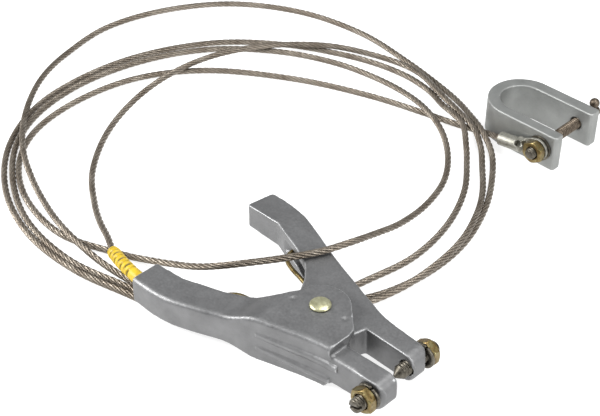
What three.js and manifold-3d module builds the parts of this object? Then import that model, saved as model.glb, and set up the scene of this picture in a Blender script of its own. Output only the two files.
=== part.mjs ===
// Ground clamp set: a sprung hand clamp and a small screw clamp, joined by ten feet of steel wire rope.
// Millimetres, +Z up. The origin is on the hand clamp's pivot axis, at the surface the set lies on.
// +X points from the handles to the jaws. Every shape is built in this one frame.
import * as THREE from 'three'
import { mergeVertices } from 'three/addons/utils/BufferGeometryUtils.js'
import Module from 'manifold-3d'

const wasm = await Module()
wasm.setup()

// ---- driving dimensions ----
const GAP = 0.3 // clearance between pieces that touch on the real clamp
const MID_Z = 11 // height of the hand clamp's middle plane, and of its jaw studs
const CHEEK_HEIGHT = 22 // the fixed arm is full height at its two cheeks
const CHEEK_THICKNESS = 3.7
const ARM_HALF = 6.9 // half thickness of both arms and jaws
const HANDLE_END_HALF = 6 // the handles are a little thinner at their ends
const CHEEK_FRONT_X = 20.5
const NOSE = 5.4 // rounding of a jaw's end, seen from the side
const STUD_X = 41.5
const HUB_RADIUS = 12
const PIVOT_RADIUS = 3.5

const THREAD_RADIUS = 3.1 // 1/4"-20 thread
const THREAD_HOLE = 3.5
const NUT_ACROSS = 10.4
const NUT_HEIGHT = 3.9
const WASHER_RADIUS = 5.9
const WASHER_THICKNESS = 1.3
const STUD_OUTER = 24 // slotted end of a jaw stud, from the middle
const STUD_MEET = -1.5 // where the two cone points meet

const SPRING_WIRE = 1
const SPRING_RADIUS = 6.2
const SPRING_TURNS = 1.5
const SPRING_LOW_Z = 9.4
const SPRING_HIGH_Z = 12.6

const ROPE_RADIUS = 1.6 // 1/8" wire rope
const CABLE_Y = -34 // the rope enters the fixed handle on this line
const CABLE_BORE = 3.4
const SLEEVE_RADIUS = 3
const SLEEVE_BORE = 2.1
const SET_SCREW_X = -58

const C_CENTRE = [-38.3, 185] // centre of the screw clamp's round back
const C_OUTER = 18
const C_INNER = 11.5
const C_INNER_Y = 184.6 // the rear leg is a little thicker than the front one
const C_HEIGHT = 18.9
const C_LEG_END_X = -4.7
const C_AXIS_X = -13.6 // line of the stud and the screw
const C_AXIS_Z = 10
const C_THREAD_RADIUS = 2.8
const C_THREAD_HOLE = 3.2
const FRONT_LEG_Y = C_CENTRE[1] - C_OUTER
const REAR_LEG_Y = C_CENTRE[1] + C_OUTER
const FRONT_INNER_Y = C_INNER_Y - C_INNER
const REAR_INNER_Y = C_INNER_Y + C_INNER
const LUG_TILT = THREE.MathUtils.degToRad(8) // the lug slopes down from the stud
const LUG_FACE_Y = 164.3
const LUG_MID_Y = 163.2
const LUG_STUD_END = 158.1
const T_BAR_Y = 211.3
const LUG_BARREL_RADIUS = 3.5
const LUG_LENGTH = 21
const LUG_PALM = 1.5

const ROUND = 32
const FINE_ROUND = 24

// ---- materials ----
function material(color, roughness, metalness) {
  return new THREE.MeshStandardMaterial({ color, roughness, metalness })
}
const castGrey = material(0x85888c, 0.5, 0.6)
const castSilver = material(0xa2a5a7, 0.45, 0.6)
const zincYellow = material(0xa08a4c, 0.4, 0.8)
const darkSteel = material(0x4b4a46, 0.45, 0.8)
const ropeSteel = material(0x80776a, 0.5, 0.8)
const sleeveYellow = material(0xd9b61c, 0.5, 0)
const tinned = material(0xb4b1a3, 0.35, 0.8)
const copper = material(0xa86a45, 0.45, 0.8)
const screwSteel = material(0x7b6a5a, 0.45, 0.8)

// ---- helpers ----
const clamp = new THREE.Group()

function place(name, geometry, meshMaterial, position = [0, 0, 0]) {
  const mesh = new THREE.Mesh(geometry, meshMaterial)
  mesh.name = name
  mesh.position.set(...position)
  clamp.add(mesh)
}

function solid(geometry) {
  const bare = geometry.clone()
  bare.deleteAttribute('normal')
  bare.deleteAttribute('uv')
  const merged = mergeVertices(bare, 1e-4)
  const vertProperties = new Float32Array(merged.attributes.position.array)
  const triVerts = new Uint32Array(merged.index.array)
  return new wasm.Manifold(new wasm.Mesh({ numProp: 3, vertProperties, triVerts }))
}

function surface(body) {
  const mesh = body.getMesh()
  const geometry = new THREE.BufferGeometry()
  geometry.setAttribute('position', new THREE.BufferAttribute(mesh.vertProperties, 3))
  geometry.setIndex(new THREE.BufferAttribute(mesh.triVerts, 1))
  geometry.computeVertexNormals()
  return geometry
}

function polygon(points) {
  return new THREE.Shape(points.map(([x, y]) => new THREE.Vector2(x, y)))
}

// A flat outline in X and Y, standing from one height to another.
function upright(shape, fromZ, toZ, curveSegments = 6) {
  const options = { depth: toZ - fromZ, bevelEnabled: false, curveSegments }
  return new THREE.ExtrudeGeometry(shape, options).translate(0, 0, fromZ)
}

// An outline in X and Z, running from one Y to another.
function sideways(shape, fromY, toY, curveSegments = 6) {
  const options = { depth: toY - fromY, bevelEnabled: false, curveSegments }
  return new THREE.ExtrudeGeometry(shape, options).rotateX(Math.PI / 2).translate(0, toY, 0)
}

// A turned shape about the Y direction, from [radius, y] pairs listed with y going up.
function turned(profile, x, z, segments = FINE_ROUND) {
  const points = profile.map(([radius, y]) => new THREE.Vector2(radius, y))
  return new THREE.LatheGeometry(points, segments).translate(x, 0, z)
}

function rodAlongY(radius, fromY, toY, x, z, segments = FINE_ROUND) {
  return turned([[0, fromY], [radius, fromY], [radius, toY], [0, toY]], x, z, segments)
}

// A turned shape about the Z direction, from [radius, z] pairs listed with z going up.
function turnedUpright(profile, x, y, segments = ROUND) {
  const points = profile.map(([radius, z]) => new THREE.Vector2(radius, z))
  return new THREE.LatheGeometry(points, segments).rotateX(Math.PI / 2).translate(x, y, 0)
}

function rodAlongZ(radius, fromZ, toZ, x, y, segments = ROUND) {
  return turnedUpright([[0, fromZ], [radius, fromZ], [radius, toZ], [0, toZ]], x, y, segments)
}

function rodAlongX(radius, fromX, toX, y, z, segments = FINE_ROUND) {
  const length = toX - fromX
  const rod = new THREE.CylinderGeometry(radius, radius, length, segments)
  return rod.rotateZ(Math.PI / 2).translate(fromX + length / 2, y, z)
}

function tubeAlong(points, radius, bore, sides, steps) {
  const path = new THREE.CatmullRomCurve3(points.map((p) => new THREE.Vector3(...p)), false, 'centripetal')
  return new THREE.ExtrudeGeometry(ring(radius, bore, sides), { extrudePath: path, steps, curveSegments: 1 })
}

function ring(radius, bore, sides) {
  const section = roundOutline(radius, sides, THREE.Shape)
  if (bore > 0) section.holes.push(roundOutline(bore, sides, THREE.Path))
  return section
}

function roundOutline(radius, sides, Kind) {
  const points = []
  for (let i = 0; i < sides; i++) {
    const angle = (2 * Math.PI * i) / sides
    points.push(new THREE.Vector2(radius * Math.cos(angle), radius * Math.sin(angle)))
  }
  return new Kind(points)
}

function onCircle(radius, degrees) {
  const angle = THREE.MathUtils.degToRad(degrees)
  return [radius * Math.cos(angle), radius * Math.sin(angle)]
}

// ---- the two cast arms ----
// Each arm's numbers are distances from the middle line; its outer edge is [x, distance] from handle to jaw.
// endX and tipX are the inner and outer corners of the handle's end.
const FIXED = {
  side: -1,
  endX: -72.3,
  tipX: -71.3,
  jawEndX: 47.8,
  handle: 40.7,
  face: 4.8,
  jaw: 14.4,
  edge: [
    [-60, 40.6], [-50, 39.1], [-38, 34.7], [-28, 30.5], [-15, 25.7], [0, 20.9], [10, 18], [22, 15.8],
    [STUD_X, 14.4],
  ],
}
const MOVING = {
  side: 1,
  endX: -74.6,
  tipX: -71.5,
  jawEndX: 45.8,
  handle: 43.6,
  face: 6.2,
  jaw: 15.5,
  edge: [
    [-60, 43], [-50, 41.3], [-38, 37], [-28, 33], [-15, 28.2], [0, 23.3], [10, 20.1], [22, 16.9],
    [STUD_X, 15.5],
  ],
}

function startOuterEdge({ side, tipX, jawEndX, handle, face, jaw, edge }) {
  const outline = new THREE.Shape()
  outline.moveTo(tipX, side * handle)
  outline.lineTo(edge[0][0], side * edge[0][1])
  outline.splineThru(edge.slice(1).map(([x, y]) => new THREE.Vector2(x, side * y)))
  outline.lineTo(jawEndX - 2.5, side * (jaw - 0.2))
  outline.lineTo(jawEndX, side * (jaw - 2.2))
  outline.lineTo(jawEndX, side * (face + 1.2))
  outline.lineTo(jawEndX - 1.2, side * face)
  return outline
}

// Side view of an arm: handle, thicker middle and rounded jaw end.
function sideView({ endX, jawEndX }, rampStart, rampEnd, half) {
  const outline = new THREE.Shape()
  outline.moveTo(endX, MID_Z - HANDLE_END_HALF)
  outline.lineTo(-40, MID_Z - ARM_HALF)
  outline.lineTo(rampStart, MID_Z - ARM_HALF)
  outline.bezierCurveTo(rampStart + 5, MID_Z - ARM_HALF, rampEnd - 5, MID_Z - half, rampEnd, MID_Z - half)
  outline.lineTo(CHEEK_FRONT_X - 2.5, MID_Z - half)
  outline.lineTo(CHEEK_FRONT_X, MID_Z - ARM_HALF)
  outline.absarc(jawEndX - NOSE, MID_Z - ARM_HALF + NOSE, NOSE, -Math.PI / 2, 0, false)
  outline.absarc(jawEndX - NOSE, MID_Z + ARM_HALF - NOSE, NOSE, 0, Math.PI / 2, false)
  outline.lineTo(CHEEK_FRONT_X, MID_Z + ARM_HALF)
  outline.lineTo(CHEEK_FRONT_X, MID_Z + half)
  outline.lineTo(rampEnd, MID_Z + half)
  const top = MID_Z + ARM_HALF
  outline.bezierCurveTo(rampEnd - 5, MID_Z + half, rampStart + 5, top, rampStart, top)
  outline.lineTo(-40, MID_Z + ARM_HALF)
  outline.lineTo(endX, MID_Z + HANDLE_END_HALF)
  return outline
}

function fixedArmPlan() {
  const outline = startOuterEdge(FIXED)
  outline.lineTo(CHEEK_FRONT_X + 0.5, -FIXED.face - 1.3)
  outline.lineTo(CHEEK_FRONT_X - 1, -0.5)
  outline.lineTo(...onCircle(13, 38))
  outline.absarc(0, 0, 13, THREE.MathUtils.degToRad(38), THREE.MathUtils.degToRad(175), false)
  outline.lineTo(-17.2, -5)
  outline.lineTo(-25.5, -12.2)
  outline.lineTo(-38, -18.9)
  outline.lineTo(-56.8, -25)
  outline.lineTo(FIXED.endX + 0.8, -26)
  outline.lineTo(FIXED.endX, -26.8)
  outline.lineTo(FIXED.tipX - 1, 1 - FIXED.handle)
  return outline
}

// The gap between the cheeks, where the moving arm's hub turns.
function clevisSlot() {
  const outline = polygon([[22, -2.8], [22, 16], [-24.5, 16], [-24.5, -13], [-14, -13]])
  outline.lineTo(...onCircle(HUB_RADIUS + 0.6, 250))
  const from = THREE.MathUtils.degToRad(250)
  const to = THREE.MathUtils.degToRad(320)
  outline.absarc(0, 0, HUB_RADIUS + 0.6, from, to, false)
  outline.lineTo(16, -5)
  return upright(outline, CHEEK_THICKNESS, CHEEK_HEIGHT - CHEEK_THICKNESS)
}

function fixedArm() {
  const plan = solid(upright(fixedArmPlan(), -1, CHEEK_HEIGHT + 1))
  const side = solid(sideways(sideView(FIXED, -27.5, -13, MID_Z), -60, 30))
  const cuts = [
    clevisSlot(),
    rodAlongZ(PIVOT_RADIUS + GAP, -1, CHEEK_HEIGHT + 1, 0, 0),
    rodAlongZ(5, -1, 1.8, 0, 0),
    rodAlongY(THREAD_HOLE, -20, 0, STUD_X, MID_Z),
    rodAlongX(CABLE_BORE, FIXED.endX - 1, -50.8, CABLE_Y, MID_Z),
    rodAlongZ(2.7, 0, MID_Z, SET_SCREW_X, CABLE_Y, FINE_ROUND),
    new THREE.SphereGeometry(3, 16, 10).translate(-10.9, -4.6, CHEEK_HEIGHT + 2.5),
    new THREE.SphereGeometry(3, 16, 10).translate(12.8, 1.3, CHEEK_HEIGHT + 2.5),
  ]
  const ridges = [
    tubeAlong([[-13, -23.5, 14], [0, -20, 13.6], [12, -16.8, 13.5], [25, -15, 13.8]], 2.1, 0, 10, 10),
    tubeAlong([[-13, -23.5, 7], [0, -20, 5.9], [10, -17.3, 5.2], [21, -15.1, 5.2]], 2.1, 0, 10, 10),
  ]
  let body = plan.intersect(side)
  for (const ridge of ridges) body = body.add(solid(ridge))
  for (const cut of cuts) body = body.subtract(solid(cut))
  return surface(body)
}

function movingArmPlan() {
  const outline = startOuterEdge(MOVING)
  outline.lineTo(20, MOVING.face)
  outline.lineTo(18.5, 1)
  outline.lineTo(18.5, -2)
  outline.lineTo(...onCircle(HUB_RADIUS, 325))
  const from = THREE.MathUtils.degToRad(325)
  const to = THREE.MathUtils.degToRad(196)
  outline.absarc(0, 0, HUB_RADIUS, from, to, true)
  outline.lineTo(-16.5, 5)
  outline.lineTo(-20, 11)
  outline.lineTo(-26, 17.3)
  outline.lineTo(-36, 22.1)
  outline.lineTo(-55, 29.1)
  outline.lineTo(MOVING.endX + 0.8, 29.2)
  outline.lineTo(MOVING.endX, 30)
  outline.lineTo(MOVING.tipX - 1.2, MOVING.handle - 1)
  return outline
}

// The pocket in the moving arm for the spring's coil and legs, open towards the fixed handle.
function springPocket() {
  const reach = 9
  const outline = polygon([[-50, 26.5], [-60, 10], [-30, -14], [-3, -14], [-3, -8.5]])
  outline.absarc(0, 0, reach, THREE.MathUtils.degToRad(251), THREE.MathUtils.degToRad(450), false)
  outline.lineTo(-12, 17)
  outline.lineTo(-25, 24)
  outline.lineTo(-38, 28)
  return upright(outline, MID_Z - 2.9, MID_Z + 2.9)
}

function movingArm() {
  const plan = solid(upright(movingArmPlan(), 0, CHEEK_HEIGHT))
  const side = solid(sideways(sideView(MOVING, -31, -18, ARM_HALF), -30, 60))
  const cuts = [
    springPocket(),
    rodAlongZ(PIVOT_RADIUS + 0.4, 0, CHEEK_HEIGHT, 0, 0),
    rodAlongY(THREAD_HOLE, 0, 20, STUD_X, MID_Z),
  ]
  let body = plan.intersect(side)
  for (const cut of cuts) body = body.subtract(solid(cut))
  return surface(body)
}

// The rivet's head is a low dome; its tail sits flush in the lower cheek.
function pivotRivet() {
  const top = CHEEK_HEIGHT + GAP
  const tail = [[0, 0], [4.7, 0], [4.7, 1.5], [PIVOT_RADIUS, 1.5]]
  const rim = [[PIVOT_RADIUS, top], [4.6, top], [4.4, top + 0.6]]
  const dome = [...rim, [3.6, top + 1.1], [2, top + 1.5], [0, top + 1.6]]
  return turnedUpright([...tail, ...dome], 0, 0)
}

// One and a half turns about the rivet, with a leg bearing on each handle.
function torsionSpring() {
  const legOnFixed = [[-44.2, -19.6], [-42.5, -13.7], [-39, -10], [-32, -8.2], [-18, -6.5], [-8, -6.2]]
  const legTip = [[-37.5, 18], [-39.8, 21], [-40.4, 24.8]]
  const legOnMoving = [[-8, 7.8], [-14, 10.4], [-24, 13.5], [-33, 15.8], ...legTip]
  const coil = []
  const steps = 18
  for (let i = 0; i <= steps; i++) {
    const angle = (1.5 + (2 * SPRING_TURNS * i) / steps) * Math.PI
    const z = SPRING_LOW_Z + ((SPRING_HIGH_Z - SPRING_LOW_Z) * i) / steps
    coil.push([SPRING_RADIUS * Math.cos(angle), SPRING_RADIUS * Math.sin(angle), z])
  }
  const path = [
    ...legOnFixed.map(([x, y]) => [x, y, SPRING_LOW_Z]),
    ...coil,
    ...legOnMoving.map(([x, y]) => [x, y, SPRING_HIGH_Z]),
  ]
  return tubeAlong(path, SPRING_WIRE, 0, 8, 76)
}

// ---- threaded hardware ----
// A jaw stud: cone point towards the other jaw, screwdriver slot in the outer end.
function jawStud(side) {
  const tip = side * STUD_MEET + 0.2
  const rod = [[0, tip], [THREAD_RADIUS, tip + 4.2], [THREAD_RADIUS, STUD_OUTER - 0.5]]
  const profile = [...rod, [THREAD_RADIUS - 0.5, STUD_OUTER], [0, STUD_OUTER]]
  const slot = new THREE.BoxGeometry(9, 3.2, 1.1).translate(STUD_X, STUD_OUTER, MID_Z)
  const body = solid(turned(profile, STUD_X, MID_Z)).subtract(solid(slot))
  return side > 0 ? surface(body) : surface(body.mirror([0, 1, 0]))
}

// A chamfered hexagon nut whose inner face is at fromY.
function nut(fromY, x, z, threadRadius) {
  const corner = NUT_ACROSS / 2 / Math.cos(Math.PI / 6)
  const toY = fromY + NUT_HEIGHT
  const chamfer = 0.9
  const rim = [[0, fromY], [corner - chamfer, fromY], [corner, fromY + 0.5], [corner, toY - 0.5]]
  const disc = [...rim, [corner - chamfer, toY], [0, toY]]
  const hexagon = new THREE.CylinderGeometry(corner, corner, NUT_HEIGHT, 6)
  hexagon.translate(x, fromY + NUT_HEIGHT / 2, z)
  const hole = rodAlongY(threadRadius + GAP + 0.05, fromY - 1, toY + 1, x, z)
  return surface(solid(hexagon).intersect(solid(turned(disc, x, z, 36))).subtract(solid(hole)))
}

// A split spring washer.
function lockWasher(fromY, thickness) {
  const disc = rodAlongY(WASHER_RADIUS, fromY, fromY + thickness, STUD_X, MID_Z, ROUND)
  const hole = rodAlongY(THREAD_HOLE, fromY - 1, fromY + 3, STUD_X, MID_Z)
  const split = new THREE.BoxGeometry(0.9, 6, 6).rotateY(0.3).translate(STUD_X, fromY, MID_Z + 5)
  return surface(solid(disc).subtract(solid(hole)).subtract(solid(split)))
}

// ---- cable entry in the fixed handle ----
function cableFerrule() {
  const tube = rodAlongX(3.1, -61, -52, CABLE_Y, MID_Z)
  const bore = rodAlongX(ROPE_RADIUS + GAP, -62, -51, CABLE_Y, MID_Z)
  return surface(solid(tube).subtract(solid(bore)))
}

// It closes the handle from below.
function cableSetScrew() {
  const high = MID_Z - 3.4
  const low = high - 1.9
  const socket = new THREE.CylinderGeometry(1.3, 1.3, 2, 6).rotateX(Math.PI / 2)
  socket.translate(SET_SCREW_X, CABLE_Y, low)
  const screw = rodAlongZ(2.4, low, high, SET_SCREW_X, CABLE_Y, FINE_ROUND)
  return surface(solid(screw).subtract(solid(socket)))
}

const SLEEVE_PATH = [[-62, CABLE_Y, MID_Z], [-74, CABLE_Y, MID_Z], [-88, -32, 10], [-101, -28, 7.4]]

function cableSleeve() {
  return tubeAlong(SLEEVE_PATH, SLEEVE_RADIUS, SLEEVE_BORE, 16, 14)
}

// The rope's hidden end, through the sleeve and the ferrule.
function ropeEnd() {
  const path = [[-51.5, CABLE_Y, MID_Z], ...SLEEVE_PATH.slice(0, 3), [-100.6, -28.2, 7.5]]
  return tubeAlong(path, ROPE_RADIUS, 0, 8, 18)
}

// ---- the wire rope ----
// Laid in four turns on the surface, from the sleeve's mouth to the lug's barrel.
const ROPE_ROUTE = [
  // out of the sleeve, up the left side and over two turns at the back
  [-101, -28, 7.4], [-112.5, -22, 5.6], [-126, -16, 3.6], [-139.5, -8.5, 2.2], [-160.5, 6.5, 1.9],
  [-182, 33, 2], [-193, 60, 3.8], [-197, 85, 5.1], [-196, 111, 5.1], [-188, 134, 5.1], [-175, 153, 5.1],
  [-157, 169, 5], [-140, 181, 2.4], [-120, 186, 2.2],
  // first turn: outermost at the right, under the arms, outermost at the left
  [-103, 183, 4.2], [-86, 176, 5.1], [-66, 169, 5.1], [-51, 163, 5.1], [-39, 154, 3.2], [-30, 144, 1.9],
  [-16.5, 127.5, 2.4], [-6, 110, 4.6], [1.5, 90.5, 5.1], [4.5, 70, 5.1], [3.5, 47.5, 4.4],
  [-3.5, 28.5, 2], [-13, 10, 1.8], [-22, -4, 1.7], [-35, -19, 1.7], [-53, -31, 1.7], [-79.5, -37.5, 1.7],
  [-109, -44, 1.7], [-143.5, -43.5, 1.7], [-177.5, -32, 1.7], [-207, -9.5, 1.7], [-226.5, 22, 1.7],
  [-232, 59.5, 1.7], [-226, 96, 1.7], [-207, 132, 1.7], [-180.5, 155.5, 1.7], [-155, 169, 1.7],
  [-131.5, 177, 1.7], [-110, 179.5, 1.7], [-92.5, 177, 1.8],
  // second turn: inside the first at the right, then on top of the others at the left
  [-77, 169.5, 3.8], [-66.5, 165.5, 5.1], [-57, 161.5, 5.1], [-46.5, 151.5, 3.4], [-38, 142, 1.8],
  [-23.5, 122.5, 1.7], [-12.5, 96.5, 1.7], [-8.5, 68.5, 1.7], [-12, 45, 1.7], [-18, 20, 1.7],
  [-29, 1, 1.7], [-45, -15, 1.7], [-66, -28, 1.7], [-89, -31.5, 1.7], [-104.5, -33, 2.6],
  [-119, -33.5, 4.9], [-137, -31, 5.1], [-157, -25, 3.6], [-173.5, -19, 3.6], [-193, -10, 5.1],
  [-213, 4, 5.1], [-231, 22, 5.1], [-245, 41, 4.4], [-258, 67, 1.8],
  // the widest turn, at the back
  [-264, 98, 1.7], [-256, 133, 1.7], [-234, 166, 1.7], [-198, 188, 1.7], [-157, 195, 1.7],
  [-122, 191, 1.7], [-95, 185.5, 1.7], [-76, 180, 2], [-61, 172, 4.2], [-46, 163.5, 5.3],
  [-33.5, 155.5, 2.6], [-22, 142, 1.7], [-8.5, 120, 1.7], [1.5, 91.5, 1.7], [3, 64, 1.7], [-2, 40, 1.7],
  [-12, 21, 1.7], [-24, 1, 1.7], [-41, -17, 1.7], [-62, -30, 1.7], [-84.5, -35, 1.7],
  [-115.5, -41.5, 1.7], [-150.5, -38.5, 1.7], [-180, -26, 1.7], [-205.5, -6, 1.7], [-221, 19, 1.7],
  [-227.5, 53.5, 1.7], [-221, 93, 1.7], [-204, 125, 1.7], [-176, 149, 1.7], [-147, 162, 1.7],
  [-121.5, 166.5, 1.7], [-98.5, 164.5, 3.4], [-78.5, 158.5, 5.1],
  // innermost turn: up, over the moving arm and down beside the fixed handle
  [-61.5, 150.5, 4.2], [-48, 139.5, 2], [-36, 122.5, 1.7], [-28.5, 100.5, 3], [-24, 77, 7.6],
  [-22, 57, 14], [-20.5, 41, 19.8], [-25.5, 26.5, 19.9], [-33.5, 12.5, 19.8], [-42.5, -1, 19.8],
  [-52, -9, 17.2], [-62.5, -12.5, 12.6], [-77.5, -15, 6.8], [-88.5, -17.5, 3.6], [-97.5, -20.5, 2],
  [-107.5, -24.5, 1.7],
  // last turn, and across to the lug
  [-133.5, -33, 1.7], [-166, -28.5, 1.7], [-192, -14, 1.7], [-209, 8, 1.7], [-216, 40, 1.7],
  [-211, 76, 1.7], [-191, 107, 1.7], [-151, 135, 1.7], [-111.5, 151.5, 1.7], [-80.5, 159.5, 1.7],
  [-62, 163.5, 1.7], [-53, 166, 1.8], [-43.5, 165.8, 3.9], [-34.7, 163.2, 7],
]

// Steps follow the listed points, so that they are short where the rope bends most.
class LaidRope extends THREE.CatmullRomCurve3 {
  getPointAt(u, target) {
    return this.getPoint(u, target)
  }

  getTangentAt(u, target) {
    return this.getTangent(u, target)
  }
}

function wireRope() {
  const route = new LaidRope(ROPE_ROUTE.map((p) => new THREE.Vector3(...p)), false, 'centripetal')
  return new THREE.ExtrudeGeometry(ring(ROPE_RADIUS, 0, 8), { extrudePath: route, steps: 96 })
}

// ---- the screw clamp ----
function clampBody() {
  const [x, y] = C_CENTRE
  const outline = new THREE.Shape()
  outline.moveTo(C_LEG_END_X, FRONT_LEG_Y + 1)
  outline.lineTo(C_LEG_END_X, FRONT_INNER_Y - 1)
  outline.lineTo(C_LEG_END_X - 1, FRONT_INNER_Y)
  outline.absarc(x, C_INNER_Y, C_INNER, -Math.PI / 2, Math.PI / 2, true)
  outline.lineTo(C_LEG_END_X - 1, REAR_INNER_Y)
  outline.lineTo(C_LEG_END_X, REAR_INNER_Y + 1)
  outline.lineTo(C_LEG_END_X, REAR_LEG_Y - 1)
  outline.lineTo(C_LEG_END_X - 1, REAR_LEG_Y)
  outline.absarc(x, y, C_OUTER, Math.PI / 2, -Math.PI / 2, false)
  outline.lineTo(C_LEG_END_X - 1, FRONT_LEG_Y)
  const body = solid(upright(outline, 0, C_HEIGHT, 14))
  const studHole = rodAlongY(C_THREAD_HOLE, FRONT_LEG_Y - 5, FRONT_LEG_Y + 10, C_AXIS_X, C_AXIS_Z)
  const screwHole = rodAlongY(C_THREAD_HOLE, REAR_INNER_Y - 5, REAR_LEG_Y + 5, C_AXIS_X, C_AXIS_Z)
  return surface(body.subtract(solid(studHole)).subtract(solid(screwHole)))
}

// Fixed point in the front leg; its outer end carries the lug.
function lugStud() {
  const end = LUG_STUD_END
  const rod = [[0, end], [C_THREAD_RADIUS - 0.5, end], [C_THREAD_RADIUS, end + 0.5], [C_THREAD_RADIUS, 173]]
  return turned([...rod, [0, 176.7]], C_AXIS_X, C_AXIS_Z)
}

function lugWasher() {
  const hole = C_THREAD_HOLE
  const ringProfile = [[hole, 166], [6.6, 166], [6.6, 166.8], [hole, 166.8], [hole, 166]]
  return turned(ringProfile, C_AXIS_X, C_AXIS_Z, ROUND)
}

// Crimp lug: a flat palm on the stud, a neck, and a barrel that holds the rope.
// It is shaped with its stud at the origin and its barrel along -X, then tilted and moved into place.
function cableLug() {
  const palm = rodAlongY(5.8, LUG_FACE_Y, LUG_FACE_Y + LUG_PALM, 0, 0, ROUND)
  const edge = [[0, 5.8], [-3, 5.3], [-8, 3.5], [-11, 3.5]]
  const plate = polygon([...edge, ...edge.map(([x, z]) => [x, -z]).reverse()])
  const barrel = rodAlongX(LUG_BARREL_RADIUS, -LUG_LENGTH, -5.5, LUG_MID_Y, 0)
  const low = LUG_MID_Y - LUG_BARREL_RADIUS
  const high = LUG_MID_Y + LUG_BARREL_RADIUS
  const neckTop = LUG_FACE_Y + LUG_PALM
  const neck = [[-8.8, high], [-6.4, neckTop], [-6.4, LUG_FACE_Y], [-8.6, low]]
  const flank = polygon([...neck, [-25, low], [-25, high]])
  const cuts = [
    rodAlongY(C_THREAD_HOLE, 160, 168, 0, 0),
    rodAlongX(ROPE_RADIUS + GAP, -LUG_LENGTH - 1, -12.5, LUG_MID_Y, 0),
    rodAlongY(1.6, -LUG_BARREL_RADIUS - 1, 0, -9, 0, 16).rotateX(-Math.PI / 4).translate(0, LUG_MID_Y, 0),
  ]
  let body = solid(barrel).intersect(solid(upright(flank, -4, 4)))
  body = body.add(solid(palm)).add(solid(sideways(plate, LUG_FACE_Y, neckTop)))
  for (const cut of cuts) body = body.subtract(solid(cut))
  return surface(body).rotateY(-LUG_TILT).translate(C_AXIS_X, 0, C_AXIS_Z)
}

function clampScrew() {
  const point = [[0, 178.5], [C_THREAD_RADIUS, 182.3], [C_THREAD_RADIUS, 207.5]]
  const head = [[3, 207.5], [3, 213], [2.5, 213.5], [0, 213.5]]
  const hole = rodAlongZ(1.3 + GAP, 0, 20, C_AXIS_X, T_BAR_Y, FINE_ROUND)
  return surface(solid(turned([...point, ...head], C_AXIS_X, C_AXIS_Z)).subtract(solid(hole)))
}

// The bar through the screw's head, with an upset ball at each end.
function tHandle() {
  const reach = 5
  const bar = rodAlongZ(1.3, C_AXIS_Z - reach, C_AXIS_Z + reach, C_AXIS_X, T_BAR_Y, FINE_ROUND)
  let body = solid(bar)
  for (const z of [C_AXIS_Z - reach, C_AXIS_Z + reach]) {
    body = body.add(solid(new THREE.SphereGeometry(2.6, FINE_ROUND, 12).translate(C_AXIS_X, T_BAR_Y, z)))
  }
  return surface(body)
}

// ---- the assembly ----
place('fixed_arm', fixedArm(), castGrey)
place('moving_arm', movingArm(), castGrey)
place('pivot_rivet', pivotRivet(), zincYellow)
place('torsion_spring', torsionSpring(), zincYellow)

// Along each stud from the jaw outwards: washer, nut, slotted end.
const FIXED_WASHER = FIXED.jaw + 0.5
const MOVING_WASHER = MOVING.jaw + 0.5
const NUT_OFFSET = WASHER_THICKNESS + 0.2
const fixedNut = nut(-FIXED_WASHER - NUT_OFFSET - NUT_HEIGHT, STUD_X, MID_Z, THREAD_RADIUS)
place('fixed_jaw_stud', jawStud(-1), darkSteel)
place('fixed_jaw_washer', lockWasher(-FIXED_WASHER - WASHER_THICKNESS, WASHER_THICKNESS), darkSteel)
place('fixed_jaw_nut', fixedNut, zincYellow)
place('moving_jaw_stud', jawStud(1), darkSteel)
place('moving_jaw_washer', lockWasher(MOVING_WASHER, WASHER_THICKNESS), darkSteel)
place('moving_jaw_nut', nut(MOVING_WASHER + NUT_OFFSET, STUD_X, MID_Z, THREAD_RADIUS), zincYellow)

place('cable_ferrule', cableFerrule(), copper)
place('cable_set_screw', cableSetScrew(), darkSteel)
place('cable_sleeve', cableSleeve(), sleeveYellow)
place('rope_end', ropeEnd(), ropeSteel)
place('wire_rope', wireRope(), ropeSteel)

const lugNut = nut(LUG_FACE_Y - GAP - NUT_HEIGHT, C_AXIS_X, C_AXIS_Z, C_THREAD_RADIUS)
place('c_clamp_body', clampBody(), castSilver)
place('lug_stud', lugStud(), darkSteel)
place('lug_washer', lugWasher(), darkSteel)
place('cable_lug', cableLug(), tinned)
place('lug_nut', lugNut, zincYellow)
place('clamp_screw', clampScrew(), screwSteel)
place('t_handle', tHandle(), screwSteel)

export default clamp
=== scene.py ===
"""Looks of the ground clamp set: cast hand clamp, wire rope and screw clamp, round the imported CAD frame.

Blender's lengths are metres and the numbers written here are millimetres, unless a comment says otherwise.
The frame has its origin on the hand clamp's pivot at floor level, +X to the jaws and +Z up.
"""

import math

import bpy
import numpy as np
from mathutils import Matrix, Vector, noise


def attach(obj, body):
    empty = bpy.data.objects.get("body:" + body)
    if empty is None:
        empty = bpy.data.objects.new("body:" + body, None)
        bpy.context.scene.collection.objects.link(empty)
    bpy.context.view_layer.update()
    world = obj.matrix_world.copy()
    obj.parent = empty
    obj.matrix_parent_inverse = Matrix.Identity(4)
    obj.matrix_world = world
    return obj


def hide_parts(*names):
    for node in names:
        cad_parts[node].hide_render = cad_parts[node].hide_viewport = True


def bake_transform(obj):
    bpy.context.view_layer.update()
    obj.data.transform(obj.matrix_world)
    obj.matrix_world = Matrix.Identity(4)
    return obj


MM = 0.001
ROOT_BODY = "grounding_set"
JAW_BODY = "moving_jaw"
SCREW_BODY = "screw"

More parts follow.
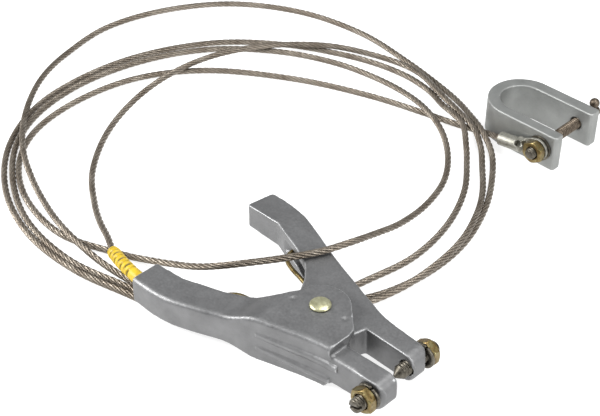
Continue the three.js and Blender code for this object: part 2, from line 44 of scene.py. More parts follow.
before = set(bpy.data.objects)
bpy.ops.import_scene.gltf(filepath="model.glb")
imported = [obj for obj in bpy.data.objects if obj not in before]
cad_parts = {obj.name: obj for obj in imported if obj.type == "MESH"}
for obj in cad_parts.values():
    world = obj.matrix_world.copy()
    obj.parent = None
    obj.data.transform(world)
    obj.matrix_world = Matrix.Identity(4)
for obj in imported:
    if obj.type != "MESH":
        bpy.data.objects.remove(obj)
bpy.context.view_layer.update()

# ---- sizes, in millimetres, as in the CAD ----
ROPE_DIAMETER = 3.2
ROPE_STRANDS = 6
ROPE_LAY = 21.0  # length of one turn of a strand
ROPE_STEP = 1.2
STRAND_WIRES = 6
THREAD_RADIUS = 3.1
SCREW_RADIUS = 2.8
THREAD_PITCH = 1.27
THREAD_DEPTH = 0.5
NUT_ACROSS = 10.4
NUT_HEIGHT = 3.9
WASHER_THICKNESS = 1.3
STUD_OUTER = 24.0
STUD_MEET = -1.5
JAW_X = 41.5
MID_Z = 11.0
SCREW_X = -13.6
SCREW_Z = 10.0

# The wire rope's route, from the sleeve's mouth to the lug's barrel, in millimetres.
ROPE_ROUTE = [
    # out of the sleeve, up the left side and over two turns at the back
    (-101, -28, 7.4), (-112.5, -22, 5.6), (-126, -16, 3.6), (-139.5, -8.5, 2.2), (-160.5, 6.5, 1.9),
    (-182, 33, 2), (-193, 60, 3.8), (-197, 85, 5.1), (-196, 111, 5.1), (-188, 134, 5.1),
    (-175, 153, 5.1), (-157, 169, 5), (-140, 181, 2.4), (-120, 186, 2.2),
    # first turn: outermost at the right, under the arms, outermost at the left
    (-103, 183, 4.2), (-86, 176, 5.1), (-66, 169, 5.1), (-51, 163, 5.1), (-39, 154, 3.2),
    (-30, 144, 1.9), (-16.5, 127.5, 2.4), (-6, 110, 4.6), (1.5, 90.5, 5.1), (4.5, 70, 5.1),
    (3.5, 47.5, 4.4), (-3.5, 28.5, 2), (-13, 10, 1.8), (-22, -4, 1.7), (-35, -19, 1.7), (-53, -31, 1.7),
    (-79.5, -37.5, 1.7), (-109, -44, 1.7), (-143.5, -43.5, 1.7), (-177.5, -32, 1.7), (-207, -9.5, 1.7),
    (-226.5, 22, 1.7), (-232, 59.5, 1.7), (-226, 96, 1.7), (-207, 132, 1.7), (-180.5, 155.5, 1.7),
    (-155, 169, 1.7), (-131.5, 177, 1.7), (-110, 179.5, 1.7), (-92.5, 177, 1.8),
    # second turn: inside the first at the right, then on top of the others at the left
    (-77, 169.5, 3.8), (-66.5, 165.5, 5.1), (-57, 161.5, 5.1), (-46.5, 151.5, 3.4), (-38, 142, 1.8),
    (-23.5, 122.5, 1.7), (-12.5, 96.5, 1.7), (-8.5, 68.5, 1.7), (-12, 45, 1.7), (-18, 20, 1.7),
    (-29, 1, 1.7), (-45, -15, 1.7), (-66, -28, 1.7), (-89, -31.5, 1.7), (-104.5, -33, 2.6),
    (-119, -33.5, 4.9), (-137, -31, 5.1), (-157, -25, 3.6), (-173.5, -19, 3.6), (-193, -10, 5.1),
    (-213, 4, 5.1), (-231, 22, 5.1), (-245, 41, 4.4), (-258, 67, 1.8),
    # the widest turn, at the back
    (-264, 98, 1.7), (-256, 133, 1.7), (-234, 166, 1.7), (-198, 188, 1.7), (-157, 195, 1.7),
    (-122, 191, 1.7), (-95, 185.5, 1.7), (-76, 180, 2), (-61, 172, 4.2), (-46, 163.5, 5.3),
    (-33.5, 155.5, 2.6), (-22, 142, 1.7), (-8.5, 120, 1.7), (1.5, 91.5, 1.7), (3, 64, 1.7), (-2, 40, 1.7),
    (-12, 21, 1.7), (-24, 1, 1.7), (-41, -17, 1.7), (-62, -30, 1.7), (-84.5, -35, 1.7),
    (-115.5, -41.5, 1.7), (-150.5, -38.5, 1.7), (-180, -26, 1.7), (-205.5, -6, 1.7), (-221, 19, 1.7),
    (-227.5, 53.5, 1.7), (-221, 93, 1.7), (-204, 125, 1.7), (-176, 149, 1.7), (-147, 162, 1.7),
    (-121.5, 166.5, 1.7), (-98.5, 164.5, 3.4), (-78.5, 158.5, 5.1),
    # innermost turn: up, over the moving arm and down beside the fixed handle
    (-61.5, 150.5, 4.2), (-48, 139.5, 2), (-36, 122.5, 1.7), (-28.5, 100.5, 3), (-24, 77, 7.6),
    (-22, 57, 14), (-20.5, 41, 19.8), (-25.5, 26.5, 19.9), (-33.5, 12.5, 19.8), (-42.5, -1, 19.8),
    (-52, -9, 17.2), (-62.5, -12.5, 12.6), (-77.5, -15, 6.8), (-88.5, -17.5, 3.6), (-97.5, -20.5, 2),
    (-107.5, -24.5, 1.7),
    # last turn, and across to the lug
    (-133.5, -33, 1.7), (-166, -28.5, 1.7), (-192, -14, 1.7), (-209, 8, 1.7), (-216, 40, 1.7),
    (-211, 76, 1.7), (-191, 107, 1.7), (-151, 135, 1.7), (-111.5, 151.5, 1.7), (-80.5, 159.5, 1.7),
    (-62, 163.5, 1.7), (-53, 166, 1.8), (-43.5, 165.8, 3.9), (-34.7, 163.2, 7),
]
# The sleeve's centre line, from inside the handle to the rope's start.
SLEEVE_ROUTE = [(-62, -34, 11), (-74, -34, 11), (-88, -32, 10), (-101, -28, 7.4)]
SPRING_LEG_FIXED = [(-44.2, -19.6), (-42.5, -13.7), (-39, -10), (-32, -8.2), (-18, -6.5), (-8, -6.2)]
SPRING_LEG_MOVING = [
    (-8, 7.8), (-14, 10.4), (-24, 13.5), (-33, 15.8), (-37.5, 18), (-39.8, 21), (-40.4, 24.8),
]
SPRING_LOW_Z = 9.4
SPRING_HIGH_Z = 12.6
WASHER_INNER = 3.5
WASHER_OUTER = 5.9
WASHER_GAP = 0.2  # between a washer and its nut
RIVET_TOP = 22.3
LUG_STUD_END = 158.1
LUG_SHOULDER = 173.0
LUG_STUD_POINT = 176.7
LUG_NUT_TOP = 164.0
SCREW_POINT = 178.5
SCREW_TOP = 213.5
CAD_EDGE = 0.15  # softened edge of the pieces that keep their CAD shape
WASHER_AT = {"fixed": 14.9, "moving": 16.0}  # inner face of each washer, from the midline between the jaws


# ---- camera, light and floor ----
def look_from(position, target, obj):
    obj.location = Vector(position) * MM
    direction = (Vector(target) - Vector(position)).normalized()
    obj.rotation_euler = direction.to_track_quat("-Z", "Y").to_euler()


def make_camera():
    data = bpy.data.cameras.new("camera")
    data.lens = 81.54
    data.sensor_width = 36
    data.clip_start = 0.01
    data.clip_end = 20
    camera = bpy.data.objects.new("camera", data)
    bpy.context.collection.objects.link(camera)
    look_from((285.2, -297.0, 394.0), (-71.3, 59.6, 0), camera)
    bpy.context.scene.camera = camera


def area_light(name, position, target, size, power):
    data = bpy.data.lights.new(name, "AREA")
    data.shape = "RECTANGLE"
    data.size, data.size_y = size
    data.energy = power
    lamp = bpy.data.objects.new(name, data)
    bpy.context.collection.objects.link(lamp)
    look_from(position, target, lamp)


def make_world():
    world = bpy.data.worlds.new("studio")
    world.use_nodes = True
    background = world.node_tree.nodes["Background"]
    background.inputs["Color"].default_value = (0.96, 0.98, 1.0, 1)
    background.inputs["Strength"].default_value = 0.42
    bpy.context.scene.world = world
    bpy.context.scene.view_settings.view_transform = "Standard"
    area_light("edge", (-600, -520, 560), (-60, 40, 0), (0.42, 0.42), 10.0)
    area_light("overhead", (160, 240, 900), (-80, 60, 0), (0.5, 0.5), 5.0)
    area_light("right", (620, 160, 420), (-20, 60, 0), (0.25, 0.25), 2.5)


def make_floor():
    mesh = bpy.data.meshes.new("floor")
    reach = 6.0
    corners = [(-reach, -reach, 0), (reach, -reach, 0), (reach, reach, 0), (-reach, reach, 0)]
    mesh.from_pydata(corners, [], [(0, 1, 2, 3)])
    floor = bpy.data.objects.new("floor", mesh)
    bpy.context.collection.objects.link(floor)
    material = bpy.data.materials.new("floor_white")
    material.use_nodes = True
    shader = material.node_tree.nodes["Principled BSDF"]
    shader.inputs["Base Color"].default_value = (0.45, 0.45, 0.45, 1)
    shader.inputs["Roughness"].default_value = 0.9
    shader.inputs["Emission Color"].default_value = (1, 1, 1, 1)
    shader.inputs["Emission Strength"].default_value = 0.8
    floor.data.materials.append(material)


# ---- material nodes ----
class Nodes:
    """A short way to write a material's node tree."""

    def __init__(self, name):
        self.material = bpy.data.materials.new(name)
        self.material.use_nodes = True
        self.tree = self.material.node_tree
        self.shader = self.tree.nodes["Principled BSDF"]

    def add(self, kind, inputs=(), **settings):
        node = self.tree.nodes.new(kind)
        for key, value in settings.items():
            setattr(node, key, value)
        for key, value in dict(inputs).items():
            self.put(node.inputs[key], value)
        return node

    def put(self, socket, value):
        if isinstance(value, bpy.types.NodeSocket):
            self.tree.links.new(value, socket)
        elif isinstance(value, bpy.types.Node):
            self.tree.links.new(value.outputs[0], socket)
        else:
            socket.default_value = value

    def place(self):
        return self.add("ShaderNodeTexCoord").outputs["Object"]

    def uv(self):
        return self.add("ShaderNodeTexCoord").outputs["UV"]

    def noise(self, scale_mm, detail=4.0, vector=None, roughness=0.55):
        """Noise whose lumps are about scale_mm across."""
        return self.add(
            "ShaderNodeTexNoise",
            {
                "Vector": vector or self.place(),
                "Scale": 1 / (scale_mm * MM),
                "Detail": detail,
                "Roughness": roughness,
            },
        ).outputs["Fac"]

    def ramp(self, value, *stops):
        """A smooth colour or grey ramp; stops are (position, colour)."""
        node = self.add("ShaderNodeValToRGB", {"Fac": value})
        elements = node.color_ramp.elements
        while len(elements) < len(stops):
            elements.new(0.5)
        for element, (position, color) in zip(elements, stops):
            element.position = position
            element.color = (*color, 1) if len(color) == 3 else color
        return node.outputs["Color"]

    def mix(self, factor, a, b, blend="MIX"):
        node = self.add("ShaderNodeMix", data_type="RGBA", blend_type=blend)
        self.put(node.inputs["Factor"], factor)
        self.put(node.inputs["A"], a)
        self.put(node.inputs["B"], b)
        return node.outputs["Result"]

    def math(self, operation, a, b=0.0):
        node = self.add("ShaderNodeMath", operation=operation)
        self.put(node.inputs[0], a)
        self.put(node.inputs[1], b)
        return node.outputs["Value"]

    def span(self, value, low, high, to_low, to_high):
        inputs = {"Value": value, "From Min": low, "From Max": high, "To Min": to_low, "To Max": to_high}
        return self.add("ShaderNodeMapRange", inputs).outputs["Result"]

    def bump(self, height, distance_mm, strength=1.0, under=None):
        inputs = {"Height": height, "Distance": distance_mm * MM, "Strength": strength}
        if under is not None:
            inputs["Normal"] = under
        return self.add("ShaderNodeBump", inputs).outputs["Normal"]

    def edges(self, low, high):
        """0 on flat and hollow faces, 1 on sharp outer edges, where the castings get a painted highlight that
        also stands for wear.
        """
        pointy = self.add("ShaderNodeNewGeometry").outputs["Pointiness"]
        return self.span(pointy, low, high, 0, 1)

    def finish(self, **sockets):
        for key, value in sockets.items():
            self.put(self.shader.inputs[key.replace("_", " ")], value)
        return self.material


def grey(level):
    return (level, level, level)


def cast_metal(name, dark, light, edge, roughness):
    """Sand-cast and tumbled aluminium: mottled satin grey, with a painted highlight on its sharp edges that
    also stands for wear.
    """
    n = Nodes(name)
    cloud = n.noise(9, 5)
    speck = n.noise(0.9, 3)
    grit = n.noise(0.35, 2)
    tone = n.math("ADD", n.math("MULTIPLY", cloud, 0.65), n.math("MULTIPLY", speck, 0.35))
    body = n.ramp(tone, (0.3, dark), (0.7, light))
    stain = n.span(n.noise(22, 3), 0.5, 0.75, 0, 0.35)
    body = n.mix(stain, body, (*[0.8 * c for c in dark], 1))
    # painted highlight: a lighter colour on sharp edges, also standing for wear
    color = n.mix(n.edges(0.515, 0.56), body, (*edge, 1))
    rough = n.span(speck, 0.3, 0.7, roughness - 0.06, roughness + 0.08)
    coarse = n.bump(n.noise(2.5, 3), 0.12, 0.5)
    fine = n.bump(grit, 0.04, 0.5, coarse)
    return n.finish(Base_Color=color, Metallic=0.75, Roughness=rough, Normal=fine)


def zinc_yellow():
    """Yellow chromate on zinc: brassy, with faint green and rust-pink patches."""
    n = Nodes("yellow_zinc")
    patch = n.noise(2.2, 3)
    color = n.ramp(patch, (0.3, (0.1, 0.065, 0.022)), (0.5, (0.2, 0.15, 0.06)), (0.72, (0.28, 0.25, 0.13)))
    color = n.mix(n.span(n.noise(1.0, 2), 0.55, 0.7, 0, 0.4), color, (0.34, 0.18, 0.1, 1))
    rough = n.span(n.noise(1.3, 3), 0.3, 0.7, 0.25, 0.42)
    normal = n.bump(n.noise(0.5, 2), 0.03, 0.5)
    return n.finish(Base_Color=color, Metallic=0.9, Roughness=rough, Normal=normal)


def steel(name, dark, light, roughness):
    n = Nodes(name)
    color = n.ramp(n.noise(1.6, 4), (0.32, dark), (0.68, light))
    rough = n.span(n.noise(0.8, 3), 0.3, 0.7, roughness - 0.05, roughness + 0.1)
    normal = n.bump(n.noise(0.4, 2), 0.03, 0.5)
    return n.finish(Base_Color=color, Metallic=0.9, Roughness=rough, Normal=normal)


def rope_steel():
    """Drawn stainless wires: warm grey, with painted shade in the grooves between strands and between wires.
    The mesh's UV gives the place across a strand (0 to 1) and the distance along it in millimetres."""
    n = Nodes("rope_steel")
    uv = n.add("ShaderNodeSeparateXYZ", {"Vector": n.uv()})
    across, along = uv.outputs["X"], uv.outputs["Y"]
    wire_turn = n.math("ADD", n.math("MULTIPLY", across, STRAND_WIRES / 2), n.math("MULTIPLY", along, 0.55))
    phase = n.math("FRACT", wire_turn)
    hump = n.math("SINE", n.math("MULTIPLY", phase, math.pi))
    centred = n.math("ABSOLUTE", n.math("SUBTRACT", across, 0.5))
    groove = n.span(centred, 0.3, 0.5, 0, 1)
    patch = n.noise(7, 4)
    steel_color = n.ramp(patch, (0.3, (0.2, 0.165, 0.13)), (0.7, (0.34, 0.3, 0.25)))
    # painted shade in the low valleys between neighbouring wires
    wire_valley_shade = n.mix(n.span(hump, 0, 0.5, 0.55, 0), steel_color, (0.05, 0.04, 0.03, 1))
    # painted shade in the grooves between strands
    color = n.mix(n.math("MULTIPLY", groove, 0.85), wire_valley_shade, (0.035, 0.028, 0.02, 1))
    normal = n.bump(hump, 0.09, 0.7)
    rough = n.span(n.noise(3, 2), 0.3, 0.7, 0.32, 0.48)
    return n.finish(Base_Color=color, Metallic=0.85, Roughness=rough, Normal=normal)


def sleeve_plastic():
    """Yellow plastic, with painted shade in its grooves. The mesh's U gives the groove's depth from 0 to 1.
    """
    n = Nodes("sleeve_yellow")
    color = n.ramp(n.noise(3, 3), (0.3, (0.5, 0.33, 0.008)), (0.7, (0.66, 0.47, 0.02)))
    depth = n.add("ShaderNodeSeparateXYZ", {"Vector": n.uv()}).outputs["X"]
    # painted shade: darker the deeper the groove
    color = n.mix(n.span(depth, 0.15, 0.7, 0, 0.92), color, (0.07, 0.045, 0.004, 1))
    normal = n.bump(n.noise(0.5, 2), 0.03, 0.4)
    return n.finish(Base_Color=color, Roughness=0.42, Normal=normal)


# ---- mesh helpers ----
def new_piece(name, vertices, faces, material):
    """A mesh object from points in millimetres."""
    mesh = bpy.data.meshes.new(name)
    mesh.from_pydata([tuple(float(c) * MM for c in v) for v in vertices], [], faces)
    mesh.update()
    piece = bpy.data.objects.new(name, mesh)
    bpy.context.collection.objects.link(piece)
    mesh.materials.append(material)
    mesh.shade_smooth()
    return piece


def applied(piece):
    """Turns a piece's modifiers into its mesh."""
    graph = bpy.context.evaluated_depsgraph_get()
    mesh = bpy.data.meshes.new_from_object(piece.evaluated_get(graph))
    piece.modifiers.clear()
    piece.data = mesh
    return piece


def stands_for(piece, node, body):
    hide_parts(node)
    if body:
        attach(piece, body)
    return piece


def grid_faces(rows, columns, close_ends=True):
    """Faces of a tube of rings, each with the same number of points; the ends are capped."""
    faces = []
    for i in range(rows - 1):
        for j in range(columns):
            k = (j + 1) % columns
            faces.append((i * columns + j, i * columns + k, (i + 1) * columns + k, (i + 1) * columns + j))
    if close_ends:
        faces.append(tuple(reversed(range(columns))))
        faces.append(tuple(range((rows - 1) * columns, rows * columns)))
    return faces


def smooth_line(points, step):
    """Centripetal Catmull-Rom curve through the points, at even steps."""
    p = np.array(points, float)
    fine = []
    for i in range(len(p) - 1):
        b, c = p[i], p[i + 1]
        a = p[i - 1] if i else 2 * b - c
        d = p[i + 2] if i + 2 < len(p) else 2 * c - b
        ab, bc, cd = (math.sqrt(np.linalg.norm(q - r)) for q, r in ((b, a), (c, b), (d, c)))
        start = ((b - a) / ab - (c - a) / (ab + bc) + (c - b) / bc) * bc
        end = ((c - b) / bc - (d - b) / (bc + cd) + (d - c) / cd) * bc
        for t in np.arange(24) / 24:
            fine.append(
                (2 * t**3 - 3 * t**2 + 1) * b
                + (t**3 - 2 * t**2 + t) * start
                + (3 * t**2 - 2 * t**3) * c
                + (t**3 - t**2) * end
            )
    fine = np.array(fine + [p[-1]])
    run = np.concatenate([[0], np.cumsum(np.linalg.norm(np.diff(fine, axis=0), axis=1))])
    count = max(2, round(run[-1] / step))
    at = np.linspace(0, run[-1], count + 1)
    return np.stack([np.interp(at, run, fine[:, k]) for k in range(3)], axis=1)


def carried_frames(line):
    """A pair of cross directions at each point, carried along the line without twisting."""
    along = np.gradient(line, axis=0)
    along /= np.linalg.norm(along, axis=1)[:, None]
    side = np.cross(along[0], (0, 0, 1))
    side /= np.linalg.norm(side)
    sides = []
    for t in along:
        side = side - t * side.dot(t)
        side /= np.linalg.norm(side)
        sides.append(side)
    sides = np.array(sides)
    return sides, np.cross(along, sides)


def swept(name, line, section, material):
    """A tube whose cross-section is section(index, distance), an array of [across, up] points."""
    sides, ups = carried_frames(line)
    run = np.concatenate([[0], np.cumsum(np.linalg.norm(np.diff(line, axis=0), axis=1))])
    rings = []
    for i, centre in enumerate(line):
        ring = section(i, run[i])
        rings.append(centre + ring[:, :1] * sides[i] + ring[:, 1:] * ups[i])
    columns = len(rings[0])
    return new_piece(name, np.concatenate(rings), grid_faces(len(rings), columns), material)


def circle(radius, count):
    angle = 2 * math.pi * np.arange(count) / count
    return np.stack([radius * np.cos(angle), radius * np.sin(angle)], axis=1)


def turned_y(name, profile, x, z, material, count=64, radius_at=None):
    """A turned piece about the Y direction, from (radius, y) pairs with y going up. radius_at reshapes it."""
    vertices = []
    for radius, y in profile:
        for j in range(count):
            angle = 2 * math.pi * j / count
            r = radius_at(radius, y, angle) if radius_at else radius
            vertices.append((x + r * math.sin(angle), y, z + r * math.cos(angle)))
    return new_piece(name, vertices, grid_faces(len(profile), count), material)


# ---- castings ----
def read_points(mesh):
    """A mesh's points, in millimetres."""
    points = np.empty(len(mesh.vertices) * 3, np.float32)
    mesh.vertices.foreach_get("co", points)
    return points.reshape(-1, 3) / MM


def write_points(mesh, points):
    mesh.vertices.foreach_set("co", (points * MM).astype(np.float32).ravel())
    mesh.update()


def make_uneven(mesh):
    """Moves a casting's surface in and out by a few hundredths of a millimetre."""
    points = read_points(mesh)
    normals = np.empty(points.size, np.float32)
    mesh.vertex_normals.foreach_get("vector", normals)
    broad = np.array([noise.noise(Vector(p) / 6) for p in points])
    fine = np.array([noise.noise(Vector(p) / 1.6) for p in points])
    wave = broad * 0.06 + fine * 0.025
    write_points(mesh, points + normals.reshape(-1, 3) * wave[:, None])


def round_outer_edge(mesh, side, radius, until):
    """Rolls over the top edge of an arm's outer wall; the rounding fades out before until."""
    points = read_points(mesh)
    x, out, z = points[:, 0], side * points[:, 1], points[:, 2]
    starts = np.arange(x.min(), until, 1.0)
    walls, tops = [], []
    for start in starts:
        here = (x >= start) & (x < start + 1)
        wall = out[here & (np.abs(z - 9.8) < 1.2)].max()
        walls.append(wall)
        tops.append(z[here & (out > wall - 5)].max())
    wall, top = (np.interp(x, starts + 0.5, values) for values in (walls, tops))
    bend = radius * np.clip((until - x) / 6, 0.001, 1)
    a = bend - (wall - out)
    b = bend - (top - z)
    far = np.hypot(a, b)
    beyond = (a > 0) & (b > 0) & (far > bend) & (x < until)
    shift = np.where(beyond, 1 - bend / np.maximum(far, 1e-6), 0)
    out = out - a * shift
    z = z - b * shift
    write_points(mesh, np.stack([x, side * out, z], axis=1))


def casting(node, material, body, voxel=0.4, rounds=7, outer_edge=None):
    """The CAD casting with rounded edges and a slightly uneven surface, as cast and tumbled."""
    piece = bpy.data.objects.new(f"{node}_cast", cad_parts[node].data.copy())
    bpy.context.collection.objects.link(piece)
    remesh = piece.modifiers.new("skin", "REMESH")
    remesh.mode = "VOXEL"
    remesh.voxel_size = voxel * MM
    applied(piece)
    if outer_edge:
        round_outer_edge(piece.data, *outer_edge)
    soften = piece.modifiers.new("soften", "SMOOTH")
    soften.factor = 0.5
    soften.iterations = rounds
    applied(piece)
    make_uneven(piece.data)
    piece.data.materials.clear()
    piece.data.materials.append(material)
    piece.data.shade_smooth()
    return stands_for(piece, node, body)


# ---- threaded hardware ----
def thread_radius(outer, y, angle):
    """Radius of a right-hand thread at a height and an angle."""
    turn = (y / THREAD_PITCH + angle / (2 * math.pi)) % 1.0
    ridge = min(1.0, max(0.0, 1.25 - abs(turn - 0.5) * 3.4))
    return outer - THREAD_DEPTH * (1 - ridge)


def threaded_rod(name, outer, profile, x, z, material, plain_above=None, plain_below=None):
    """A turned rod whose full-radius stretch carries a thread."""
    step = THREAD_PITCH / 10
    rows = []
    for (r0, y0), (r1, y1) in zip(profile, profile[1:]):
        parts = max(1, int(abs(y1 - y0) / step))
        for i in range(parts):
            t = i / parts
            rows.append((r0 + (r1 - r0) * t, y0 + (y1 - y0) * t))
    rows.append(profile[-1])

    def radius(r, y, angle):
        if plain_below is not None and y < plain_below:
            return r
        if plain_above is not None and y > plain_above:
            return r
        return min(r, thread_radius(outer, y, angle))

    return turned_y(name, rows, x, z, material, 48, radius)


def cut_box(piece, centre, size, angle=0.0):
    """Cuts a box out of a piece."""
    bpy.ops.mesh.primitive_cube_add(size=1, location=Vector(centre) * MM)
    tool = bpy.context.object
    tool.scale = Vector(size) * MM
    tool.rotation_euler = (0, angle, 0)
    cut = piece.modifiers.new("cut", "BOOLEAN")
    cut.operation = "DIFFERENCE"
    cut.solver = "EXACT"
    cut.object = tool
    bpy.context.view_layer.update()
    applied(piece)
    bpy.data.objects.remove(tool)
    return piece


def jaw_stud(side, material):
    """Pointed stud, slotted at its outer end."""
    tip, end, full = side * STUD_MEET + 0.2, STUD_OUTER, THREAD_RADIUS
    profile = [(0.12, tip), (full, tip + 4.2), (full, end - 0.5), (full - 0.5, end), (0.05, end)]
    if side < 0:
        profile = [(r, -y) for r, y in reversed(profile)]
        limits = {"plain_above": -tip - 4.4}
        name = "fixed_jaw_stud_threaded"
    else:
        limits = {"plain_below": tip + 4.4}
        name = "moving_jaw_stud_threaded"
    piece = threaded_rod(name, full, profile, JAW_X, MID_Z, material, **limits)
    return cut_box(piece, (JAW_X, side * end, MID_Z), (9, 3.2, 1.1), 0.35 * side)


def hex_nut(name, from_y, x, z, material, thread=THREAD_RADIUS):
    """Hexagon nut with turned corners and a countersunk, plain hole."""
    height, corner, hole = NUT_HEIGHT, NUT_ACROSS / 2 / math.cos(math.pi / 6), thread + 0.3
    flat = NUT_ACROSS / 2 - 0.15
    to_y = from_y + height
    profile = [(hole, from_y + 0.5), (hole + 0.5, from_y), (flat, from_y), (flat + 0.25, from_y + 0.1)]
    profile += [(corner - 0.25, from_y + 0.45), (corner, from_y + 0.75), (corner, from_y + height / 2)]
    profile += [(corner, to_y - 0.75), (corner - 0.25, to_y - 0.45), (flat + 0.25, to_y - 0.1), (flat, to_y)]
    profile += [(hole + 0.5, to_y), (hole, to_y - 0.5), (hole, from_y + 0.5)]

    def radius(r, y, angle):
        sector = angle % (math.pi / 3) - math.pi / 6
        return min(r, NUT_ACROSS / 2 / math.cos(sector)) if r > hole + 1 else r

    count = 96
    vertices = []
    for r0, y in profile[:-1]:
        for j in range(count):
            angle = 2 * math.pi * j / count
            r = radius(r0, y, angle)
            vertices.append((x + r * math.sin(angle), y, z + r * math.cos(angle)))
    rows = len(profile) - 1
    faces = grid_faces(rows, count, close_ends=False)
    last = (rows - 1) * count
    faces += [(last + j, last + (j + 1) % count, (j + 1) % count, j) for j in range(count)]
    piece = new_piece(name, vertices, faces, material)
    bevel_edges(piece, 0.12, 35)
    return piece


def bevel_edges(piece, width, degrees):
    bevel = piece.modifiers.new("edges", "BEVEL")
    bevel.width = width * MM
    bevel.segments = 2
    bevel.limit_method = "ANGLE"
    bevel.angle_limit = math.radians(degrees)
    bevel.harden_normals = True
    applied(piece)


def lock_washer(name, from_y, thickness, material, split_at):
    """Split spring washer: a square wire bent round in one turn, its ends a little apart."""
    inner, outer = WASHER_INNER, WASHER_OUTER
    gap = 0.16  # opening of the split, in radians
    corner = 0.18
    count = 72
    vertices = []
    section = [(inner, corner), (inner, thickness - corner), (inner + corner, thickness)]
    section += [(outer - corner, thickness), (outer, thickness - corner)]
    section += [(outer, corner), (outer - corner, 0), (inner + corner, 0)]
    for i in range(count + 1):
        angle = split_at + gap / 2 + (2 * math.pi - gap) * i / count
        for radius, y in section:
            vertices.append((JAW_X + radius * math.sin(angle), from_y + y, MID_Z + radius * math.cos(angle)))
    faces = grid_faces(count + 1, len(section))
    return new_piece(name, vertices, [tuple(reversed(f)) for f in faces], material)


# ---- the pieces ----
def make_rope(name, route, material):
    """Six strands laid right-handed round a core, as one fluted tube whose section turns as it goes."""
    line = smooth_line(route, ROPE_STEP)
    strand = ROPE_DIAMETER / 6
    lobe = []
    for k in range(ROPE_STRANDS):
        centre = 2 * math.pi * k / ROPE_STRANDS
        c, s = math.cos(centre), math.sin(centre)
        for a in np.radians([-88, -55, -20, 20, 55, 88]):
            x = 2 * strand + strand * math.cos(a)
            y = strand * math.sin(a)
            lobe.append((x * c - y * s, x * s + y * c))
    lobe = np.array(lobe)

    def section(_, distance):
        turn = 2 * math.pi * distance / ROPE_LAY
        c, s = math.cos(turn), math.sin(turn)
        return lobe @ np.array([[c, s], [-s, c]])

    piece = swept(name, line, section, material)
    add_strand_uv(piece, len(lobe), len(lobe) // ROPE_STRANDS)
    return piece, line


def add_strand_uv(piece, columns, per_strand):
    """UV for the rope: across a strand from 0 to 1, and along in millimetres."""
    layer = piece.data.uv_layers.new(name="UVMap")
    for face in piece.data.polygons:
        for loop in face.loop_indices:
            row, column = divmod(piece.data.loops[loop].vertex_index, columns)
            layer.data[loop].uv = (column % per_strand / (per_strand - 1), row * ROPE_STEP)


def make_spring(material):
    """Coil and both legs, as one piece."""
    radius, turns, low, high = 6.2, 1.5, SPRING_LOW_Z, SPRING_HIGH_Z
    coil = []
    for i in range(41):
        t = i / 40
        angle = (1.5 + 2 * turns * t) * math.pi
        coil.append((radius * math.cos(angle), radius * math.sin(angle), low + (high - low) * t))
    points = [(*p, low) for p in SPRING_LEG_FIXED] + coil + [(*p, high) for p in SPRING_LEG_MOVING]
    line = smooth_line(points, 0.8)
    piece = swept("torsion_spring_wire", line, lambda *_: circle(1.0, 16), material)
    stands_for(piece, "torsion_spring", None)
    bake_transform(piece)


def make_sleeve(material):
    """Strain relief sleeve: plain by the handle, then staggered grooves to its mouth."""
    line = smooth_line(SLEEVE_ROUTE, 0.3)
    plain_until, pitch, count = 17.5, 2.9, 48
    angle = 2 * math.pi * np.arange(count) / count
    depths = []

    def section(i, distance):
        depth = np.zeros(count)
        if distance > plain_until:
            turn = (distance - plain_until) / pitch
            groove = math.exp(-(((turn % 1.0) - 0.5) / 0.2) ** 4)
            stagger = 0.5 + 0.5 * np.cos(2 * angle + math.pi * (int(turn) % 2))
            depth = groove * (0.25 + 0.75 * stagger)
        depths.extend(depth)
        radius = 3.0 - 0.9 * depth
        if i < 2 or i > len(line) - 3:
            radius = radius - 0.25
        return np.stack([radius * np.cos(angle), radius * np.sin(angle)], axis=1)

    piece = swept("cable_sleeve_ribbed", line, section, material)
    layer = piece.data.uv_layers.new(name="UVMap")
    for loop in piece.data.loops:
        layer.data[loop.index].uv = (depths[loop.vertex_index], 0.5)
    return stands_for(piece, "cable_sleeve", ROOT_BODY)


def make_rivet(material):
    """Low domed head above the upper cheek, pressed tail flush below."""
    top = RIVET_TOP
    profile = [(0.05, 0), (4.4, 0), (4.7, 0.3), (4.7, 1.5), (3.5, 1.6), (3.5, top), (4.5, top)]
    profile += [(4.6, top + 0.15), (4.55, top + 0.4), (4.3, top + 0.72), (3.7, top + 1.02), (2.8, top + 1.28)]
    profile += [(1.6, top + 1.5), (0.6, top + 1.58), (0.05, top + 1.6)]
    vertices = []
    count = 64
    for radius, z in profile:
        for j in range(count):
            angle = 2 * math.pi * j / count
            vertices.append((radius * math.cos(angle), radius * math.sin(angle), z))
    piece = new_piece("pivot_rivet_dome", vertices, grid_faces(len(profile), count), material)
    return stands_for(piece, "pivot_rivet", ROOT_BODY)


def make_jaw_hardware(dark, yellow):
    """On each stud: a washer against the jaw, then a nut."""
    for side, word, body in ((-1, "fixed", ROOT_BODY), (1, "moving", JAW_BODY)):
        washer_at = WASHER_AT[word]
        stud = jaw_stud(side, dark)
        stands_for(stud, f"{word}_jaw_stud", body)
        washer_y = washer_at if side > 0 else -washer_at - WASHER_THICKNESS
        washer = lock_washer(f"{word}_jaw_washer_split", washer_y, WASHER_THICKNESS, dark, 0.3)
        stands_for(washer, f"{word}_jaw_washer", body)
        nut_at = washer_at + WASHER_THICKNESS + WASHER_GAP
        nut_y = nut_at if side > 0 else -nut_at - NUT_HEIGHT
        nut = hex_nut(f"{word}_jaw_nut_hex", nut_y, JAW_X, MID_Z, yellow)
        stands_for(nut, f"{word}_jaw_nut", body)


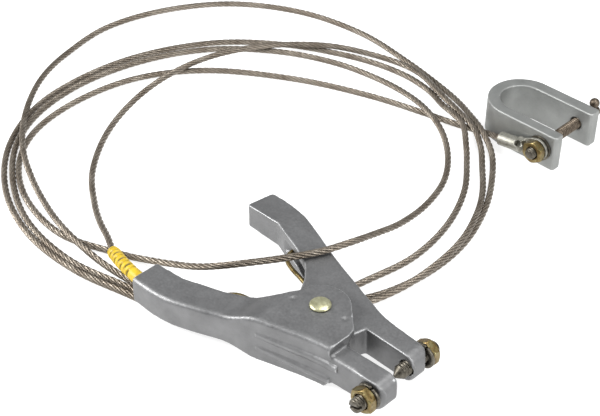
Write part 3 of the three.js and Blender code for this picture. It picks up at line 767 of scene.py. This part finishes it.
def make_lug_hardware(dark, yellow, screw):
    """The lug's stud and nut, and the clamp screw with its head."""
    end, full = LUG_STUD_END, SCREW_RADIUS
    profile = [(0.05, end), (full - 0.7, end), (full, end + 0.8)]
    profile += [(full, LUG_SHOULDER), (0.12, LUG_STUD_POINT)]
    stud = threaded_rod("lug_stud_threaded", full, profile, SCREW_X, SCREW_Z, dark, plain_above=LUG_SHOULDER)
    stands_for(stud, "lug_stud", ROOT_BODY)
    nut = hex_nut("lug_nut_hex", LUG_NUT_TOP - NUT_HEIGHT, SCREW_X, SCREW_Z, yellow, full)
    stands_for(nut, "lug_nut", ROOT_BODY)
    profile = [(0.12, SCREW_POINT), (full, 182.3), (full, 207.4), (2.9, 207.5), (3, 207.7), (3, 213)]
    profile += [(2.9, 213.3), (2.6, SCREW_TOP), (0.05, SCREW_TOP)]
    limits = {"plain_above": 206.5, "plain_below": 182.5}
    rod = threaded_rod("clamp_screw_threaded", full, profile, SCREW_X, SCREW_Z, screw, **limits)
    stands_for(rod, "clamp_screw", SCREW_BODY)


def dress_cad_node(node, material):
    """A CAD piece that keeps its shape and gets softened edges and a real finish."""
    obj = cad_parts[node]
    obj.data.materials.clear()
    obj.data.materials.append(material)
    soft = obj.modifiers.new("edges", "BEVEL")
    soft.width = CAD_EDGE * MM
    soft.segments = 2
    soft.angle_limit = math.radians(40)
    soft.harden_normals = True


make_camera()
make_world()
make_floor()

# the third colour of each casting is its painted edge highlight, also standing for wear
grey_cast = cast_metal("cast_grey", (0.165, 0.165, 0.166), (0.25, 0.25, 0.252), (0.5, 0.505, 0.51), 0.46)
silver_dark, silver_light, silver_wear_and_highlight = (0.25, 0.256, 0.247), (0.35, 0.356, 0.345), (0.45, 0.456, 0.445)
silver_cast = cast_metal("cast_silver", silver_dark, silver_light, silver_wear_and_highlight, 0.52)
yellow = zinc_yellow()
dark = steel("dark_steel", (0.06, 0.052, 0.04), (0.18, 0.165, 0.135), 0.4)
brown = steel("screw_steel", (0.08, 0.062, 0.045), (0.19, 0.155, 0.12), 0.42)
tinned = steel("tinned", (0.24, 0.235, 0.2), (0.4, 0.39, 0.35), 0.46)
copper = steel("copper", (0.42, 0.2, 0.12), (0.6, 0.32, 0.2), 0.4)
pale = steel("pale_zinc", (0.52, 0.5, 0.3), (0.68, 0.67, 0.45), 0.34)
rope_metal = rope_steel()

rope, rope_line = make_rope("rope_stranded", ROPE_ROUTE, rope_metal)
stands_for(rope, "wire_rope", ROOT_BODY)
sleeve = make_sleeve(sleeve_plastic())
HIDDEN_ROUTE = [(-51.5, -34, 11), *SLEEVE_ROUTE[:3], (-100.8, -28.1, 7.45)]
hidden_end, _ = make_rope("rope_end_stranded", HIDDEN_ROUTE, rope_metal)
stands_for(hidden_end, "rope_end", ROOT_BODY)
lug = casting("cable_lug", tinned, ROOT_BODY, voxel=0.22, rounds=4)

casting("fixed_arm", grey_cast, ROOT_BODY, rounds=10, outer_edge=(-1, 2.6, 38))
casting("moving_arm", grey_cast, JAW_BODY, rounds=12)
casting("c_clamp_body", silver_cast, ROOT_BODY, rounds=14)
make_spring(yellow)
make_rivet(pale)
make_jaw_hardware(dark, yellow)
make_lug_hardware(dark, yellow, brown)
dress_cad_node("lug_washer", dark)
dress_cad_node("t_handle", brown)
dress_cad_node("cable_set_screw", dark)
dress_cad_node("cable_ferrule", copper)
